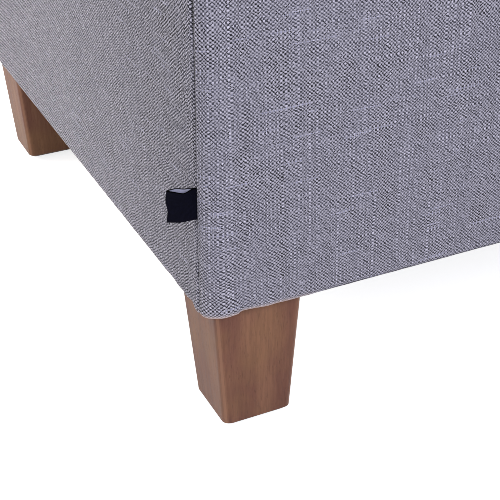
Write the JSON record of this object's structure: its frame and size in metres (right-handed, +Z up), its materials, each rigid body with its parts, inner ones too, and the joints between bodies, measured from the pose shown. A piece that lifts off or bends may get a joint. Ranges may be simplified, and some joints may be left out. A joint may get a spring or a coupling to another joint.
{
  "type": "storage ottoman",
  "caption": "Rectangular upholstered bench ottoman on tapered square wooden legs, with a padded lid that turns on back hinges and folding stays over a lined storage box.",
  "frame": {"origin": "on the floor under the middle of the upholstered box", "axes": "+X to the right end, -Y the front, +Y the hinged back, +Z up"},
  "size_m": [1.108, 0.4325, 0.45],
  "materials": {
    "woven_cover": "matte",
    "stained_wood": "satin",
    "plywood": "matte",
    "foam": "matte",
    "nonwoven_black": "matte",
    "label_ribbon": "satin",
    "zinc_steel": "satin",
    "glide_nylon": "matte",
    "bumper_rubber": "matte"
  },
  "bodies": {
    "box": {"bottom_panel": "plywood", "front_panel": "plywood", "back_panel": "plywood", "left_panel": "plywood", "right_panel": "plywood", "front_left_post": "plywood", "front_right_post": "plywood", "back_left_post": "plywood", "back_right_post": "plywood", "t_nuts": "zinc_steel", "hanger_bolts": "zinc_steel", "front_left_leg": "stained_wood", "front_right_leg": "stained_wood", "back_left_leg": "stained_wood", "back_right_leg": "stained_wood", "leg_glides": "glide_nylon", "dust_cover": "nonwoven_black", "front_padding": "foam", "back_padding": "foam", "left_padding": "foam", "right_padding": "foam", "front_cover": "woven_cover", "back_cover": "woven_cover", "left_cover": "woven_cover", "right_cover": "woven_cover", "storage_lining": "nonwoven_black", "side_label": "label_ribbon", "rim_bumpers": "bumper_rubber", "left_hinge_body_leaf": "zinc_steel", "centre_hinge_body_leaf": "zinc_steel", "right_hinge_body_leaf": "zinc_steel", "hinge_pins": "zinc_steel", "hinge_body_screws": "zinc_steel", "left_stay_wall_plate": "zinc_steel", "right_stay_wall_plate": "zinc_steel", "stay_wall_screws": "zinc_steel", "stay_wall_rivets": "zinc_steel"},
    "lid": {"lid_board": "plywood", "lid_foam": "foam", "lid_top_cover": "woven_cover", "lid_front_band": "woven_cover", "lid_back_band": "woven_cover", "lid_left_band": "woven_cover", "lid_right_band": "woven_cover", "lid_lining": "nonwoven_black", "left_hinge_lid_leaf": "zinc_steel", "centre_hinge_lid_leaf": "zinc_steel", "right_hinge_lid_leaf": "zinc_steel", "hinge_lid_screws": "zinc_steel", "left_stay_lid_bracket": "zinc_steel", "right_stay_lid_bracket": "zinc_steel", "stay_lid_screws": "zinc_steel", "stay_lid_rivets": "zinc_steel"},
    "left_lower_arm": {"left_stay_lower_arm": "zinc_steel", "left_elbow_rivet": "zinc_steel"},
    "left_upper_arm": {"left_stay_upper_arm": "zinc_steel"},
    "right_lower_arm": {"right_stay_lower_arm": "zinc_steel", "right_elbow_rivet": "zinc_steel"},
    "right_upper_arm": {"right_stay_upper_arm": "zinc_steel"}
  },
  "joints": [
    {"name": "lid_hinge", "type": "hinge", "parent": "box", "child": "lid", "pos_m": [0, 0.214, 0.35365], "axis": [-1, 0, 0], "range_deg": [0, 85]},
    {"name": "left_stay_wall_pivot", "type": "hinge", "parent": "box", "child": "left_lower_arm", "pos_m": [-0.5159, 0.142, 0.26765], "axis": [-1, 0, 0], "range_deg": [0, 85]},
    {"name": "left_stay_lid_pivot", "type": "hinge", "parent": "lid", "child": "left_upper_arm", "pos_m": [-0.5136, 0.134, 0.34265], "axis": [-1, 0, 0], "range_deg": [-85, 0]},
    {"name": "right_stay_wall_pivot", "type": "hinge", "parent": "box", "child": "right_lower_arm", "pos_m": [0.5159, 0.142, 0.26765], "axis": [-1, 0, 0], "range_deg": [0, 85]},
    {"name": "right_stay_lid_pivot", "type": "hinge", "parent": "lid", "child": "right_upper_arm", "pos_m": [0.5136, 0.134, 0.34265], "axis": [-1, 0, 0], "range_deg": [-85, 0]}
  ],
  "couplings": [
    {"joint": "left_stay_wall_pivot", "follows": "lid_hinge", "ratio": 1},
    {"joint": "left_stay_lid_pivot", "follows": "lid_hinge", "ratio": -1},
    {"joint": "right_stay_wall_pivot", "follows": "lid_hinge", "ratio": 1},
    {"joint": "right_stay_lid_pivot", "follows": "lid_hinge", "ratio": -1}
  ]
}
